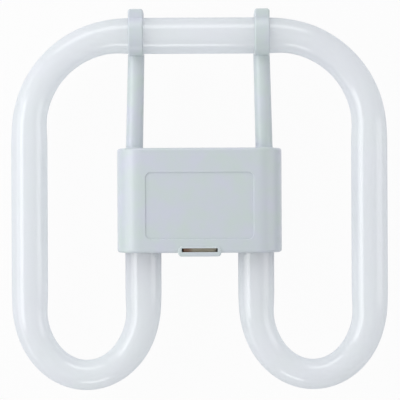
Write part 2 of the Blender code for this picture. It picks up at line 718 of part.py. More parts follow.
def make_capacitor(coating):
    """The dipped capacitor, its foot in the pocket behind the latch window."""
    capacitor = box(
        "capacitor",
        (-CAPACITOR_WIDTH / 2, CAPACITOR_FOOT_Y, CAPACITOR_BACK_Z),
        (CAPACITOR_WIDTH / 2, CAPACITOR_TOP_Y, INNER_FRONT_Z),
        coating,
    )
    round_edges(capacitor, CAPACITOR_EDGE_RADIUS)
    return capacitor


def make_crimp(name, side, metal):
    """A crimped sleeve along Y that joins a lead with the legs of the starter and the capacitor."""
    radius = CRIMP_DIAMETER / 2
    low = CRIMP_TOP_Y - CRIMP_LENGTH
    profile = [
        (0.85 * radius, low),
        (radius, low + 0.2 * radius),
        (radius, low + CRIMP_LENGTH / 3),
        (0.8 * radius, low + CRIMP_LENGTH / 2),
        (radius, low + CRIMP_LENGTH * 2 / 3),
        (radius, CRIMP_TOP_Y - 0.2 * radius),
        (0.85 * radius, CRIMP_TOP_Y),
    ]
    return turned(name, profile, (side * CRIMP_SPACING / 2, 0, STARTER_Z), (0, 1, 0), metal, sides=12)


def along(start, end, shares):
    """Points part of the way from start to end; each has its own share of the way in x, y and z."""
    return [
        tuple(a + (b - a) * share for a, b, share in zip(start, end, point_shares))
        for point_shares in shares
    ]


def make_lead_to_starter(name, side, tinned):
    """From the leg's end up under the roof, and down into the crimp's top."""
    roof_y = HOUSING_TOP_Y - SHELL_WALL - JOINT_GAP - LEAD_DIAMETER / 2
    start = (side * (INNER_LEG_X - LEAD_PITCH / 2), PINCH_TOP_Y + JOINT_GAP, TUBE_AXIS_Z)
    end = (side * (CRIMP_SPACING / 2 + CRIMP_WIRE_OFFSET), CRIMP_TOP_Y + JOINT_GAP, STARTER_Z)
    over = (end[0], roof_y, STARTER_Z)
    points = [start]
    points += along(start, over, ((0.02, 0.4, 0.05), (0.16, 0.78, 0.2), (0.5, 0.88, 0.6), (0.82, 0.8, 0.9)))
    points += [(end[0] + side * LEAD_DIAMETER / 4, (end[1] + roof_y) / 2, STARTER_Z), end]
    return wire(name, points, LEAD_DIAMETER, tinned)


def make_lead_to_pin(name, side, tinned):
    """From the leg's end over its back, straight through the sleeve, and down onto the pin.

    Returns the two ends of the stretch that is in the sleeve.
    """
    roof_y = HOUSING_TOP_Y - SHELL_WALL - JOINT_GAP - LEAD_DIAMETER / 2
    start = (side * (INNER_LEG_X + LEAD_PITCH / 2), PINCH_TOP_Y + JOINT_GAP, TUBE_AXIS_Z)
    pin_x = side * PIN_SPACING / 2
    pin_end_z = WELL_TOP_Z + 2 * JOINT_GAP + PIN_COLLAR_THICKNESS + PIN_BARREL_LENGTH
    end = (pin_x, HOUSING_CENTRE_Y, pin_end_z)
    run_z = TUBE_AXIS_Z - LEAD_DROP
    roof = (pin_x, roof_y, run_z)
    points = [start]
    points += along(start, roof, ((0.0, 0.4, 0.08), (0.06, 0.75, 0.6), (0.24, 0.78, 0.96)))
    floor = (pin_x, HOUSING_CENTRE_Y, run_z)
    straight_start, straight_end = along(start, floor, ((0.42, -0.05, 1.0), (0.82, 0.62, 1.0)))
    stretch = along(straight_start, straight_end, [(share,) * 3 for share in (0.0, 0.25, 0.5, 0.75, 1.0)])
    points += stretch
    points += [
        (pin_x + side * LEAD_DIAMETER, HOUSING_CENTRE_Y + 2.5 * LEAD_DIAMETER, pin_end_z + LEAD_ARCH),
        (pin_x, HOUSING_CENTRE_Y + LEAD_DIAMETER / 2, pin_end_z + LEAD_ARCH),
        end,
    ]
    wire(name, points, LEAD_DIAMETER, tinned)
    return stretch[1], stretch[3]


def make_sleeve(name, low, high, sleeving):
    """A straight insulating sleeve round a lead."""
    low, high = Vector(low), Vector(high)
    axis = (high - low).normalized()
    length = (high - low).length
    bore = LEAD_DIAMETER / 2 + JOINT_GAP
    outer = bore + SLEEVE_WALL
    sleeve = turned(name, [(outer, 0), (outer, length)], low, axis, sleeving)
    hole = turned(f"{name} hole", [(bore, -OVERCUT), (bore, length + OVERCUT)], low, axis)
    cut(sleeve, hole)
    return sleeve


def make_wiring(metal, tinned, sleeving):
    """The tube's four leads with two sleeves, the legs of the starter and the capacitor, and the crimps."""
    above_crimp = CRIMP_TOP_Y + JOINT_GAP
    below_crimp = CRIMP_TOP_Y - CRIMP_LENGTH - JOINT_GAP
    for side, label in ((-1, "left"), (1, "right")):
        make_crimp(f"crimp_{label}", side, metal)
        make_lead_to_starter(f"lead_{label}_to_starter", side, tinned)
        sleeve_ends = make_lead_to_pin(f"lead_{label}_to_pin", side, tinned)
        make_sleeve(f"sleeve_{label}", *sleeve_ends, sleeving)

        crimp_x = side * CRIMP_SPACING / 2
        start = (side * STARTER_LEG_PITCH / 2, STARTER_TOP_Y + JOINT_GAP, STARTER_Z)
        end = (crimp_x - side * CRIMP_WIRE_OFFSET, above_crimp, STARTER_Z)
        over = (end[0], above_crimp + LEAD_ARCH, STARTER_Z)
        shares = ((0.0, 0.44, 0), (0.15, 0.85, 0), (0.5, 1.0, 0), (0.9, 0.98, 0))
        points = [start, *along(start, over, shares), end]
        wire(f"starter_leg_{label}", points, LEG_WIRE_DIAMETER, tinned)

        capacitor_z = INNER_FRONT_Z - CAPACITOR_THICKNESS / 2
        start = (side * CAPACITOR_LEG_PITCH / 2, CAPACITOR_TOP_Y + JOINT_GAP, capacitor_z)
        end = (crimp_x, below_crimp, STARTER_Z)
        bowed = (end[0] + side * CAPACITOR_LEG_BOW, end[1], end[2])
        shares = ((0.0, 0.08, 0.1), (0.7, 0.5, 0.9), (0.7, 0.92, 1.0))
        points = [start, *along(start, bowed, shares), end]
        wire(f"capacitor_leg_{label}", points, LEG_WIRE_DIAMETER, tinned)


def clear_scene():
    for obj in list(bpy.data.objects):
        bpy.data.objects.remove(obj)


def main():
    clear_scene()
    glass = principled("phosphor coated glass", (0.86, 0.88, 0.92), 0.12)
    plastic = principled("moulded housing plastic", (0.66, 0.70, 0.72), 0.45)
    nickel = principled("nickel plated brass", (0.78, 0.76, 0.70), 0.25, 1.0)
    tinned = principled("tinned copper wire", (0.75, 0.73, 0.70), 0.35, 1.0)
    bond = principled("silicone bond", (0.85, 0.85, 0.82), 0.6)
    sleeving = principled("silicone sleeving", (0.80, 0.78, 0.70), 0.5)
    bottle = principled("starter glass", (0.30, 0.30, 0.25), 0.15)
    coating = principled("capacitor coating", (0.37, 0.30, 0.21), 0.4)

    make_discharge_tube(glass)
    make_front_shell(plastic)
    make_rear_shell(plastic)
    for side, label in ((-1, "left"), (1, "right")):
        make_contact_pin(f"contact_pin_{label}", side, nickel)
        make_bond_ring(f"bond_ring_{label}", side, bond)
    make_starter(bottle)
    make_capacitor(coating)
    make_wiring(nickel, tinned, sleeving)


main()
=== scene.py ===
import math

import bmesh
import bpy
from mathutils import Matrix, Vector


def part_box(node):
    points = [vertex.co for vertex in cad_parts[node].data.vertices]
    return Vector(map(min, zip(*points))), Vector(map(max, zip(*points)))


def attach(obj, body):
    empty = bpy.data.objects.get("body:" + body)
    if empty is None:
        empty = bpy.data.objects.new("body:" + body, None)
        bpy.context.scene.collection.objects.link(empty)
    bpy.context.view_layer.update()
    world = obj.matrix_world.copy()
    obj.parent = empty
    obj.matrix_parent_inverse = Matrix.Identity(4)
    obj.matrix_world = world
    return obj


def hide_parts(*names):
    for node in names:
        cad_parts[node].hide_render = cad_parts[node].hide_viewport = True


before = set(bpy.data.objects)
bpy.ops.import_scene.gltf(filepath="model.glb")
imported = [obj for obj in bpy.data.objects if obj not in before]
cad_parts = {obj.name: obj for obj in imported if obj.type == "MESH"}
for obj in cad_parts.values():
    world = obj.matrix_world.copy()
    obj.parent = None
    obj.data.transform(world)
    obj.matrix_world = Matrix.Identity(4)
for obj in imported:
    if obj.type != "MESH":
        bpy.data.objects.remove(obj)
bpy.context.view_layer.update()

# A square compact fluorescent lamp, lying on its back and seen from straight above its front.
# Lengths are in metres and angles in degrees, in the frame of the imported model:
# +X right, +Y to the hooks, +Z to the front.

MM = 0.001
TUBE_LOW, TUBE_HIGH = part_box("discharge_tube")
FRONT_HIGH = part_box("front_shell")[1]
REAR_LOW, REAR_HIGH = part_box("rear_shell")
PIN_LOW, PIN_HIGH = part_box("contact_pin_right")
STARTER_LOW, STARTER_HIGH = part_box("starter_bottle")
CAPACITOR_LOW, CAPACITOR_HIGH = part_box("capacitor")

# Between pieces, and how far a cutter reaches past what it cuts
CLEARANCE = 0.3 * MM
OVERCUT = 2.0 * MM

# Glass tube
TUBE_RADIUS = (TUBE_HIGH.z - TUBE_LOW.z) / 2
AXIS_Z = (TUBE_HIGH.z + TUBE_LOW.z) / 2
OUTER_LEG_X = TUBE_HIGH.x - TUBE_RADIUS
TOP_RUN_Y = TUBE_HIGH.y - TUBE_RADIUS
INNER_LEG_X = 20.7 * MM
CORNER_RADIUS = 34.3 * MM
CORNER_THICKNESS = 11.8 * MM
UTURN_DEPTH = 25.0 * MM
UTURN_THICKNESS = 11.0 * MM
UTURN_CENTRE_Y = TUBE_LOW.y + UTURN_THICKNESS / 2 + UTURN_DEPTH
BEND_THICKNESS = 12.3 * MM
BEND_LEAD_IN = 6.0 * MM
BEND_LEAD_OUT = 8.0 * MM
SHOULDER_LENGTH = 4.5 * MM
PINCH_LENGTH = 4.5 * MM
PINCH_WIDTH = 9.0 * MM
PINCH_THICKNESS = 3.0 * MM
PINCH_END_WIDTH = 8.1 * MM
PINCH_END_THICKNESS = 2.4 * MM
PINCH_END_LENGTH = 0.3 * MM
TIP_RADIUS = 1.4 * MM
TIP_LENGTH = 2.4 * MM
TIP_SEAT = 0.02 * MM
TIP_BELOW_ROOF = 2.0 * MM

# Moulded housing
BORE_RADIUS = TUBE_RADIUS + CLEARANCE
WALL = 1.6 * MM
HOUSING_HALF_WIDTH = FRONT_HIGH.x
HOUSING_TOP_Y = REAR_HIGH.y
HOUSING_FOOT_Y = REAR_LOW.y
HOUSING_CENTRE_Y = (HOUSING_TOP_Y + HOUSING_FOOT_Y) / 2
PINCH_TOP_Y = HOUSING_TOP_Y - WALL - TIP_BELOW_ROOF - TIP_LENGTH
LEG_END_Y = PINCH_TOP_Y - PINCH_LENGTH - SHOULDER_LENGTH
RIM_PROUD = 0.3 * MM
FRONT_Z = FRONT_HIGH.z - RIM_PROUD
SEAM_Z = 13.4 * MM
REAR_TOP_Z = SEAM_Z - CLEARANCE
SIDE_RADIUS = 9.0 * MM
EDGE_RADIUS = 1.0 * MM
SEAM_EDGE_RADIUS = 0.25 * MM

# Label recess
LABEL_HALF_WIDTH = 19.6 * MM
LABEL_HALF_HEIGHT = 12.15 * MM
LABEL_ABOVE_FOOT = 4.9 * MM
LABEL_CENTRE_Y = HOUSING_FOOT_Y + LABEL_ABOVE_FOOT + LABEL_HALF_HEIGHT
LABEL_DEPTH = 0.35 * MM
LABEL_CORNER_RADIUS = 2.2 * MM
LABEL_EDGE_RADIUS = 0.15 * MM

# Latch window and its raised rim
WINDOW_HALF_WIDTH = 6.5 * MM
WINDOW_HEIGHT = 1.4 * MM
WINDOW_ABOVE_FOOT = 0.3 * MM
WINDOW_FOOT_Y = HOUSING_FOOT_Y + WINDOW_ABOVE_FOOT
WINDOW_TOP_Y = WINDOW_FOOT_Y + WINDOW_HEIGHT
POCKET_UNDERCUT = 0.6 * MM
POCKET_BACK_Z = CAPACITOR_LOW.z - CLEARANCE
RIM_SIDE_WALL = 1.3 * MM
RIM_TOP_WALL = 0.65 * MM
RIM_BOTTOM_WALL = 1.6 * MM
RIM_CORNER_RADIUS = 1.3 * MM
RIM_EDGE_RADIUS = 0.5 * MM

# Arms and hooks
ARM_ROOT_X = 23.8 * MM
ARM_ROOT_RADIUS = 3.15 * MM
ARM_TIP_RADIUS = 3.025 * MM
ARM_ROOT_FLARE = 0.6 * MM
HOOK_X = 23.0 * MM
HOOK_WIDTH = 5.5 * MM
HOOK_THICKNESS = 1.8 * MM
HOOK_HEEL = 0.7 * MM
HOOK_TAB_FRONT = 6.5 * MM
HOOK_TAB_BACK = 4.6 * MM
HOOK_LIP_ANGLE = 24.0
HOOK_EDGE_RADIUS = 0.6 * MM
HOOK_CORNER_RADIUS = 1.0 * MM

# Back of the housing
REAR_DRAFT = 1.0 * MM
WELL_HALF_WIDTH = 17.0 * MM
WELL_HALF_HEIGHT = 9.5 * MM
WELL_DEPTH = 8.4 * MM
WELL_CORNER_RADIUS = 2.0 * MM
WELL_EDGE_RADIUS = 0.4 * MM
KEY_WIDTH = 3.0 * MM
KEY_DEPTH = 1.6 * MM
KEY_EDGE_RADIUS = 0.3 * MM
CATCH_WIDTH = 8.0 * MM
CATCH_HEIGHT = 2.4 * MM
CATCH_DEPTH = 0.8 * MM
CATCH_ABOVE_SEAT = 3.6 * MM
TONGUE_TOP_Z = AXIS_Z - TUBE_RADIUS / 3

# Contact pins, starter and capacitor
PIN_X = (PIN_LOW.x + PIN_HIGH.x) / 2
PIN_RADIUS = 1.175 * MM
PIN_TIP_LENGTH = 0.94 * MM
PIN_COLLAR_RADIUS = 2.0 * MM
PIN_COLLAR_THICKNESS = 0.8 * MM
PIN_BARREL_RADIUS = 1.3 * MM
BOTTLE_NARROWING = 0.35
BOTTLE_SHOULDER = 0.5
CAPACITOR_EDGE_RADIUS = 0.6 * MM

# Fineness of the curved faces
TUBE_SIDES = 96
UTURN_STEPS = 72
CORNER_STEPS = 48
LEG_STEPS = 40
TOP_RUN_STEPS = 20
SHOULDER_STEPS = 14
TIP_STEPS = 6
SIDE_STEPS = 32
HOLLOW_STEPS = 12
BORE_STEPS = 36
HOOK_STEPS = 40
EDGE_STEPS = 8
SMALL_EDGE_STEPS = 4
WELL_EDGE_STEPS = 5
SEAM_EDGE_STEPS = 3
BOTTLE_STEPS = 10


# Modelling

def add_piece(name, mesh):
    """Puts a mesh in the scene as one named object."""
    piece = bpy.data.objects.new(name, mesh)
    bpy.context.scene.collection.objects.link(piece)
    return piece


def loft(name, rings, sharp_degrees=35.0):
    """A closed solid through rings of equal point counts, capped at both ends."""
    bm = bmesh.new()
    loops = [[bm.verts.new(point) for point in ring] for ring in rings]
    for lower, upper in zip(loops, loops[1:]):
        for i, corner in enumerate(lower):
            j = (i + 1) % len(lower)
            bm.faces.new((corner, lower[j], upper[j], upper[i]))
    bm.faces.new(list(reversed(loops[0])))
    bm.faces.new(loops[-1])
    bmesh.ops.recalc_face_normals(bm, faces=bm.faces)
    mesh = bpy.data.meshes.new(name)
    bm.to_mesh(mesh)
    bm.free()
    mesh.shade_smooth()
    mesh.set_sharp_from_angle(angle=math.radians(sharp_degrees))
    return add_piece(name, mesh)


def along_x(u, v, w):
    return Vector((w, u, v))


def along_y(u, v, w):
    return Vector((u, w, v))


def along_z(u, v, w):
    return Vector((u, v, w))


def prism(name, outline, place, low, high):
    """An outline of (u, v) points drawn out from low to high."""
    return loft(name, [[place(u, v, w) for u, v in outline] for w in (low, high)])


def block(name, low, high, radius=0.0, segments=4):
    """A block between two corners, with its edges rounded."""
    outline = [(low[0], low[1]), (high[0], low[1]), (high[0], high[1]), (low[0], high[1])]
    piece = prism(name, outline, along_z, low[2], high[2])
    if radius:
        round_edges(piece, radius, segments)
    return piece


def arc(centre_u, centre_v, radius, start, end, steps):
    """Points on an arc, from the start angle to the end angle in degrees."""
    angles = [math.radians(start + (end - start) * i / steps) for i in range(steps + 1)]
    return [(centre_u + radius * math.cos(a), centre_v + radius * math.sin(a)) for a in angles]


def quarter_turn(steps):
    """Angles from none to a right angle, for a rounded edge."""
    return [math.pi / 2 * i / steps for i in range(steps + 1)]


def dome(radius, length, steps, flat):
    """A rounded end as (radius, distance from its tip); flat is the share of the radius left at the tip."""
    return [(radius * max(math.sin(t), flat), length * (1 - math.cos(t))) for t in quarter_turn(steps)]


def rounded_rectangle(centre_v, half_u, half_v, radius, steps=10):
    """The outline of a rectangle with round corners, centred on u = 0, anticlockwise."""
    outline = []
    for side_u, side_v, start in ((1, 1, 0), (-1, 1, 90), (-1, -1, 180), (1, -1, 270)):
        corner_u = side_u * (half_u - radius)
        corner_v = centre_v + side_v * (half_v - radius)
        outline += arc(corner_u, corner_v, radius, start, start + 90, steps)
    return outline


def turned(name, profile, centre, axis, sides=64):
    """A body turned about an axis through centre; the profile is (radius, distance along the axis)."""
    axis = Vector(axis)
    side = axis.orthogonal().normalized()
    other = axis.cross(side)
    angles = [2 * math.pi * i / sides for i in range(sides)]
    rings = [
        [Vector(centre) + axis * at + (side * math.cos(a) + other * math.sin(a)) * radius for a in angles]
        for radius, at in profile
    ]
    return loft(name, rings)


def round_edges(piece, width, segments=4, limit_degrees=50.0):
    """Rounds every edge sharper than the limit."""
    bevel = piece.modifiers.new("round edges", "BEVEL")
    bevel.width = width
    bevel.segments = segments
    bevel.limit_method = "ANGLE"
    bevel.angle_limit = math.radians(limit_degrees)
    settle(piece)


def round_corners(piece, is_corner, width, segments=8):
    """Rounds only the edges between two points for which is_corner holds."""
    weights = piece.data.attributes.new("bevel_weight_edge", "FLOAT", "EDGE")
    for edge in piece.data.edges:
        ends = [piece.data.vertices[i].co for i in edge.vertices]
        weights.data[edge.index].value = float(is_corner(*ends))
    bevel = piece.modifiers.new("round corners", "BEVEL")
    bevel.width = width
    bevel.segments = segments
    bevel.limit_method = "WEIGHT"
    settle(piece)


def settle(piece):
    """Writes what the modifiers make into the piece's own mesh."""
    bpy.context.view_layer.update()
    evaluated = piece.evaluated_get(bpy.context.evaluated_depsgraph_get())
    made = bpy.data.meshes.new_from_object(evaluated)
    piece.modifiers.clear()
    piece.data = made


def shape_with(piece, helper, operation):
    """Joins the helper to the piece, or cuts it away, and then removes the helper."""
    boolean = piece.modifiers.new(operation.lower(), "BOOLEAN")
    boolean.operation = operation
    boolean.object = helper
    settle(piece)
    bpy.data.objects.remove(helper)


def join(piece, helper):
    shape_with(piece, helper, "UNION")


def cut(piece, helper):
    shape_with(piece, helper, "DIFFERENCE")


def sink(piece, name, rings, centre_y, half_width, half_height, corner_radius):
    """Cuts a rounded recess; each ring is how far out from its size it lies, and its height."""
    outlines = []
    for out, z in rings:
        outline = rounded_rectangle(centre_y, half_width + out, half_height + out, corner_radius + out)
        outlines.append([along_z(u, v, z) for u, v in outline])
    cut(piece, loft(name, outlines))


def flatten_shading(piece):
    """Smooth rounded edges with faces that stay flat between them."""
    piece.data.shade_smooth()
    piece.data.set_sharp_from_angle(angle=math.radians(32.0))
    weighted = piece.modifiers.new("even faces", "WEIGHTED_NORMAL")
    weighted.keep_sharp = True
    weighted.weight = 80


def seat_piece(piece, node, finish):
    """The piece rides on the lamp in place of its CAD solid, with its finish."""
    piece.data.materials.clear()
    piece.data.materials.append(finish)
    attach(piece, "root")
    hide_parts(node)


# Glass tube

def bend_half_thickness(into_bend, share, middle_thickness):
    """Half the tube's thickness in the plane, at a distance into a bend and at a share of its half turn.

    Bent glass draws thinner: it eases to the bend's thickness round the start, and then to the middle's.
    """
    travel = min(max((into_bend + BEND_LEAD_IN) / (BEND_LEAD_IN + BEND_LEAD_OUT), 0.0), 1.0)
    eased = travel * travel * (3 - 2 * travel)
    necked = TUBE_RADIUS - (2 * TUBE_RADIUS - BEND_THICKNESS) / 2 * eased
    return necked - (BEND_THICKNESS - middle_thickness) / 2 * math.sin(math.pi / 2 * share) ** 2


def sealed_end_stations():
    """The left leg's end inside the housing: exhaust tip, pinch and shoulder."""
    x = -INNER_LEG_X
    stations = []
    for radius, below_tip in dome(TIP_RADIUS, TIP_RADIUS, TIP_STEPS, flat=0.12):
        stations.append((x, PINCH_TOP_Y + TIP_LENGTH - below_tip, radius, radius))
    stations.append((x, PINCH_TOP_Y + TIP_SEAT, TIP_RADIUS, TIP_RADIUS))
    stations.append((x, PINCH_TOP_Y, PINCH_END_WIDTH / 2, PINCH_END_THICKNESS / 2))
    stations.append((x, PINCH_TOP_Y - PINCH_END_LENGTH, PINCH_WIDTH / 2, PINCH_THICKNESS / 2))
    for i in range(SHOULDER_STEPS + 1):
        share = i / SHOULDER_STEPS
        swell = math.sin(share * math.pi / 2)
        width = PINCH_WIDTH / 2 + (TUBE_RADIUS - PINCH_WIDTH / 2) * swell
        depth = PINCH_THICKNESS / 2 + (TUBE_RADIUS - PINCH_THICKNESS / 2) * swell
        stations.append((x, LEG_END_Y + SHOULDER_LENGTH * (1 - share), width, depth))
    return stations


def tube_stations():
    """The tube's left half, from the leg's sealed end to the middle of the top run.

    Each station is (x, y, half width in the plane, half depth across it).
    """
    stations = sealed_end_stations()
    for i in range(1, LEG_STEPS):
        y = LEG_END_Y + (UTURN_CENTRE_Y - LEG_END_Y) * i / LEG_STEPS
        width = bend_half_thickness(UTURN_CENTRE_Y - y, 0.0, UTURN_THICKNESS)
        stations.append((-INNER_LEG_X, y, width, TUBE_RADIUS))
    centre_x = -(INNER_LEG_X + OUTER_LEG_X) / 2
    half_span = (OUTER_LEG_X - INNER_LEG_X) / 2
    for i in range(UTURN_STEPS + 1):
        turn = math.pi * i / UTURN_STEPS
        share = 1 - abs(1 - 2 * i / UTURN_STEPS)
        width = bend_half_thickness(UTURN_DEPTH * math.pi / 2 * share, share, UTURN_THICKNESS)
        x = centre_x + half_span * math.cos(turn)
        y = UTURN_CENTRE_Y - UTURN_DEPTH * math.sin(turn)
        stations.append((x, y, width, TUBE_RADIUS))
    corner_foot_y = TOP_RUN_Y - CORNER_RADIUS
    for i in range(1, LEG_STEPS):
        y = UTURN_CENTRE_Y + (corner_foot_y - UTURN_CENTRE_Y) * i / LEG_STEPS
        below = bend_half_thickness(UTURN_CENTRE_Y - y, 0.0, UTURN_THICKNESS)
        above = bend_half_thickness(y - corner_foot_y, 0.0, CORNER_THICKNESS)
        stations.append((-OUTER_LEG_X, y, min(below, above), TUBE_RADIUS))
    for i in range(CORNER_STEPS + 1):
        turn = math.pi / 2 * i / CORNER_STEPS
        share = 1 - abs(1 - 2 * i / CORNER_STEPS)
        width = bend_half_thickness(CORNER_RADIUS * math.pi / 4 * share, share, CORNER_THICKNESS)
        x = -OUTER_LEG_X + CORNER_RADIUS * (1 - math.cos(turn))
        y = corner_foot_y + CORNER_RADIUS * math.sin(turn)
        stations.append((x, y, width, TUBE_RADIUS))
    corner_end_x = -OUTER_LEG_X + CORNER_RADIUS
    for i in range(1, TOP_RUN_STEPS):
        x = corner_end_x * (1 - i / TOP_RUN_STEPS)
        width = bend_half_thickness(corner_end_x - x, 0.0, CORNER_THICKNESS)
        stations.append((x, TOP_RUN_Y, width, TUBE_RADIUS))
    return stations


def bend_glass_tube(finish):
    """The whole tube in one sweep: legs, lower bends, corners and top run."""
    left = tube_stations()
    stations = left + [(0.0, TOP_RUN_Y, TUBE_RADIUS, TUBE_RADIUS)]
    stations += [(-x, y, width, depth) for x, y, width, depth in reversed(left)]
    rings = []
    for i, (x, y, width, depth) in enumerate(stations):
        before = stations[max(i - 1, 0)]
        after = stations[min(i + 1, len(stations) - 1)]
        ahead = Vector((after[0] - before[0], after[1] - before[1], 0)).normalized()
        across = Vector((ahead.y, -ahead.x, 0))
        centre = Vector((x, y, AXIS_Z))
        ring = []
        for side in range(TUBE_SIDES):
            angle = 2 * math.pi * side / TUBE_SIDES
            ring.append(centre + across * width * math.cos(angle) + Vector((0, 0, depth * math.sin(angle))))
        rings.append(ring)
    tube = loft("bent_glass_tube", rings, sharp_degrees=50.0)
    seat_piece(tube, "discharge_tube", finish)


# Front moulding

def front_section(inset):
    """The front moulding's section across the lamp, drawn in by inset, from the seam up."""
    half = HOUSING_HALF_WIDTH - inset
    top = FRONT_Z - inset
    radius = SIDE_RADIUS - inset
    foot = SEAM_Z + inset
    small = SEAM_EDGE_RADIUS
    outline = arc(half - small, foot + small, small, -90, 0, SMALL_EDGE_STEPS)
    outline += arc(half - radius, top - radius, radius, 0, 90, SIDE_STEPS)
    outline += arc(radius - half, top - radius, radius, 90, 180, SIDE_STEPS)
    outline += arc(small - half, foot + small, small, 180, 270, SMALL_EDGE_STEPS)
    return outline


def mould_body():
    """The block of the front moulding, with its foot and top edges rounded."""
    turns = quarter_turn(EDGE_STEPS)
    rounding = [(EDGE_RADIUS * (1 - math.sin(t)), EDGE_RADIUS * (1 - math.cos(t))) for t in turns]
    foot = [(HOUSING_FOOT_Y + rise, inset) for rise, inset in reversed(rounding)]
    top = [(HOUSING_TOP_Y - drop, inset) for drop, inset in rounding]
    rings = [[along_y(u, v, y) for u, v in front_section(inset)] for y, inset in foot + top]
    return loft("front_moulding", rings)


def hollow_section(foot_z):
    """The inside of the front moulding, one wall inside its section."""
    half = HOUSING_HALF_WIDTH - WALL
    top = FRONT_Z - WALL
    radius = SIDE_RADIUS - WALL
    outline = [(half, foot_z), *arc(half - radius, top - radius, radius, 0, 90, HOLLOW_STEPS)]
    outline += [*arc(radius - half, top - radius, radius, 90, 180, HOLLOW_STEPS), (-half, foot_z)]
    return outline


def keyhole(side):
    """The space that one leg of the tube takes as it is laid into the moulding."""
    x = side * INNER_LEG_X
    outline = [(x + BORE_RADIUS, SEAM_Z - OVERCUT)]
    outline += arc(x, AXIS_Z, BORE_RADIUS, 0, 180, BORE_STEPS)
    outline += [(x - BORE_RADIUS, SEAM_Z - OVERCUT)]
    return prism("leg space", outline, along_y, HOUSING_FOOT_Y - OVERCUT, LEG_END_Y)


def hook_outline():
    """Side view of a hook before the tube's bore: up from the arm, in front of the tube and over it."""
    outer = BORE_RADIUS + HOOK_THICKNESS
    foot = BORE_RADIUS + HOOK_HEEL
    foot_angle = -math.degrees(math.acos(foot / outer))
    tab_angle = math.degrees(math.asin(HOOK_TAB_FRONT / outer))
    lip = math.radians(HOOK_LIP_ANGLE)
    lip_y, lip_z = BORE_RADIUS * math.cos(lip), AXIS_Z - BORE_RADIUS * math.sin(lip)
    outline = [(TOP_RUN_Y - foot, AXIS_Z - ARM_TIP_RADIUS)]
    outline += arc(TOP_RUN_Y, AXIS_Z, outer, 180 + foot_angle, tab_angle, HOOK_STEPS)
    outline += [(FRONT_HIGH.y, AXIS_Z + HOOK_TAB_FRONT), (FRONT_HIGH.y, AXIS_Z - HOOK_TAB_BACK)]
    outline += [(TOP_RUN_Y + lip_y, lip_z), (TOP_RUN_Y - lip_y, lip_z)]
    return outline


def add_arm(moulding, side):
    """A round arm out of the top of the moulding, with the hook that holds the top run."""
    root = Vector((side * ARM_ROOT_X, HOUSING_TOP_Y, AXIS_Z))
    tip = Vector((side * HOOK_X, TOP_RUN_Y - BORE_RADIUS, AXIS_Z))
    ahead = (tip - root).normalized()
    length = (tip - root).length
    profile = [(ARM_ROOT_RADIUS + ARM_ROOT_FLARE, -WALL / 2)]
    for turn in quarter_turn(EDGE_STEPS):
        radius = ARM_ROOT_RADIUS + ARM_ROOT_FLARE * (1 - math.sin(turn))
        profile.append((radius, ARM_ROOT_FLARE * (1 - math.cos(turn))))
    profile.append((ARM_TIP_RADIUS, length + HOOK_THICKNESS / 2))
    join(moulding, turned("arm", profile, root, ahead, sides=72))
    x = side * HOOK_X
    hook = prism("hook", hook_outline(), along_x, x - HOOK_WIDTH / 2, x + HOOK_WIDTH / 2)
    tab_top = FRONT_HIGH.y - HOOK_CORNER_RADIUS
    round_corners(hook, lambda a, b: min(a.y, b.y) > tab_top and a.x == b.x, HOOK_CORNER_RADIUS)
    round_edges(hook, HOOK_EDGE_RADIUS, segments=5)
    join(moulding, hook)
    bore_profile = [(BORE_RADIUS, -HOOK_WIDTH), (BORE_RADIUS, HOOK_WIDTH)]
    cut(moulding, turned("hook bore", bore_profile, (x, TOP_RUN_Y, AXIS_Z), (1, 0, 0), sides=128))


def sink_label_recess(moulding):
    """The shallow place for the label, with a round foot and mouth to its edge; it stays bare."""
    radius = LABEL_EDGE_RADIUS
    floor_z = FRONT_Z - LABEL_DEPTH
    turns = quarter_turn(SMALL_EDGE_STEPS)
    rings = [(-radius * (1 - math.sin(t)), floor_z + radius * (1 - math.cos(t))) for t in turns]
    rings += [(radius * (1 - math.cos(t)), FRONT_Z - radius + radius * math.sin(t)) for t in turns]
    rings.append((radius, FRONT_Z + OVERCUT))
    size = (LABEL_HALF_WIDTH, LABEL_HALF_HEIGHT, LABEL_CORNER_RADIUS)
    sink(moulding, "label recess", rings, LABEL_CENTRE_Y, *size)


def open_latch_window(moulding):
    """The raised rim at the foot of the front face, with the window into the housing."""
    half = WINDOW_HALF_WIDTH
    foot, top = WINDOW_FOOT_Y - RIM_BOTTOM_WALL, WINDOW_TOP_Y + RIM_TOP_WALL
    size = (half + RIM_SIDE_WALL, (top - foot) / 2, RIM_CORNER_RADIUS)
    outline = rounded_rectangle((foot + top) / 2, *size, steps=8)
    rim = prism("window rim", outline, along_z, POCKET_BACK_Z - RIM_SIDE_WALL, FRONT_Z + RIM_PROUD)
    round_edges(rim, RIM_EDGE_RADIUS, segments=5)
    join(moulding, rim)
    window_low = (-half, WINDOW_FOOT_Y, POCKET_BACK_Z)
    cut(moulding, block("window", window_low, (half, WINDOW_TOP_Y, FRONT_Z + OVERCUT)))
    pocket_low = (-half, WINDOW_FOOT_Y - POCKET_UNDERCUT, POCKET_BACK_Z)
    cut(moulding, block("window pocket", pocket_low, (half, WINDOW_TOP_Y + OVERCUT, FRONT_Z - WALL)))


def mould_front(finish):
    """The front moulding: half of the housing with its label recess, window, arms and hooks."""
    moulding = mould_body()
    hollow = hollow_section(SEAM_Z - OVERCUT)
    cut(moulding, prism("hollow", hollow, along_y, HOUSING_FOOT_Y + WALL, HOUSING_TOP_Y - WALL))
    for side in (-1, 1):
        cut(moulding, keyhole(side))
        add_arm(moulding, side)
    sink_label_recess(moulding)
    open_latch_window(moulding)
    flatten_shading(moulding)
    seat_piece(moulding, "front_shell", finish)


# Back moulding

